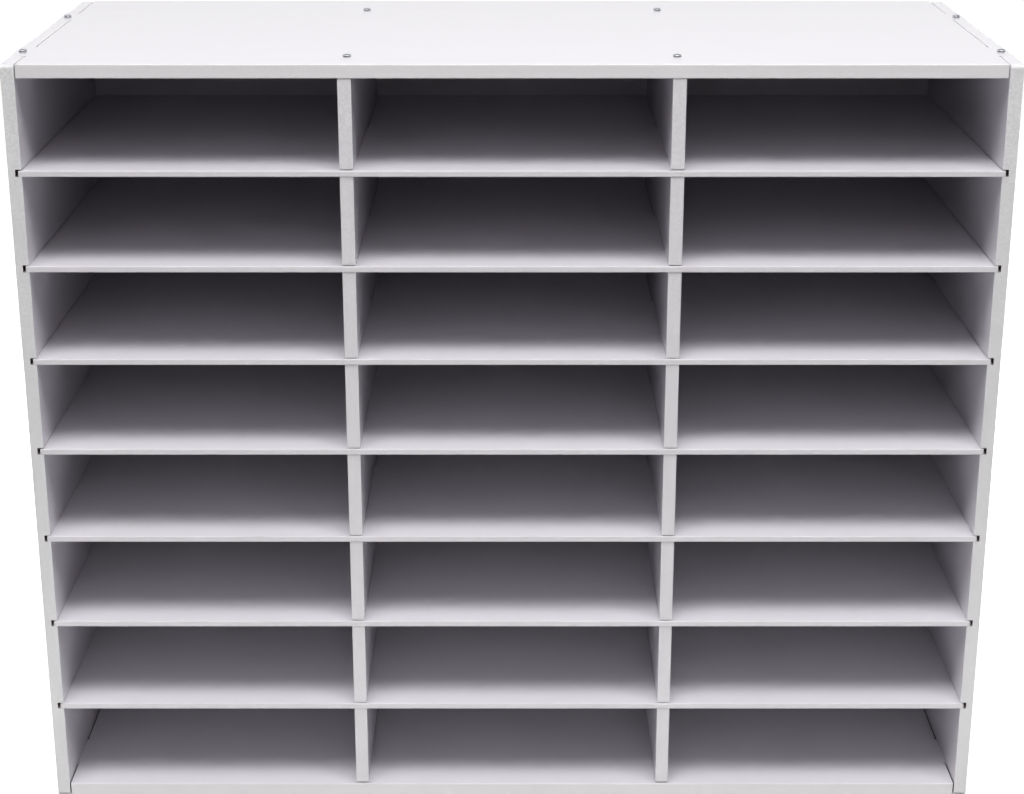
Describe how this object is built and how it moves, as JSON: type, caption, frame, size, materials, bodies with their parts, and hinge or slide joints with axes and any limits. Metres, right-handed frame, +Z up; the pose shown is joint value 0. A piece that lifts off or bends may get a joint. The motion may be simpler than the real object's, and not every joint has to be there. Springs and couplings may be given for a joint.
{
  "type": "document sorter",
  "caption": "Open-front document sorter of white painted board: a screwed case with notched uprights and thin full-width shelves that slide out to the front.",
  "frame": {"origin": "on the floor under the middle of the case", "axes": "+X across the front, to the right as seen from the front; +Y from the open front to the back; +Z up"},
  "size_m": [0.88, 0.368, 0.712],
  "materials": {
    "painted_board": "satin white paint sprayed on fibreboard",
    "shelf_board": "satin white paint sprayed on thin fibreboard",
    "back_board": "white-faced hardboard",
    "screw_steel": "bright zinc plate"
  },
  "bodies": {
    "case": {"left_side_panel": "painted_board", "right_side_panel": "painted_board", "top_panel": "painted_board", "bottom_panel": "painted_board", "left_upright": "painted_board", "right_upright": "painted_board", "back_panel": "back_board", "top_left_tab_screws": "screw_steel", "top_right_tab_screws": "screw_steel", "top_left_upright_screws": "screw_steel", "top_right_upright_screws": "screw_steel", "bottom_left_tab_screws": "screw_steel", "bottom_right_tab_screws": "screw_steel", "bottom_left_upright_screws": "screw_steel", "bottom_right_upright_screws": "screw_steel"},
    "shelf_1": {"shelf_1": "shelf_board"},
    "shelf_2": {"shelf_2": "shelf_board"},
    "shelf_3": {"shelf_3": "shelf_board"},
    "shelf_4": {"shelf_4": "shelf_board"},
    "shelf_5": {"shelf_5": "shelf_board"},
    "shelf_6": {"shelf_6": "shelf_board"},
    "shelf_7": {"shelf_7": "shelf_board"}
  },
  "joints": [
    {"name": "shelf_1_slide", "type": "slide", "parent": "case", "child": "shelf_1", "axis": [0, -1, 0], "range_m": [0, 0.355]},
    {"name": "shelf_2_slide", "type": "slide", "parent": "case", "child": "shelf_2", "axis": [0, -1, 0], "range_m": [0, 0.355]},
    {"name": "shelf_3_slide", "type": "slide", "parent": "case", "child": "shelf_3", "axis": [0, -1, 0], "range_m": [0, 0.355]},
    {"name": "shelf_4_slide", "type": "slide", "parent": "case", "child": "shelf_4", "axis": [0, -1, 0], "range_m": [0, 0.355]},
    {"name": "shelf_5_slide", "type": "slide", "parent": "case", "child": "shelf_5", "axis": [0, -1, 0], "range_m": [0, 0.355]},
    {"name": "shelf_6_slide", "type": "slide", "parent": "case", "child": "shelf_6", "axis": [0, -1, 0], "range_m": [0, 0.355]},
    {"name": "shelf_7_slide", "type": "slide", "parent": "case", "child": "shelf_7", "axis": [0, -1, 0], "range_m": [0, 0.355]}
  ]
}
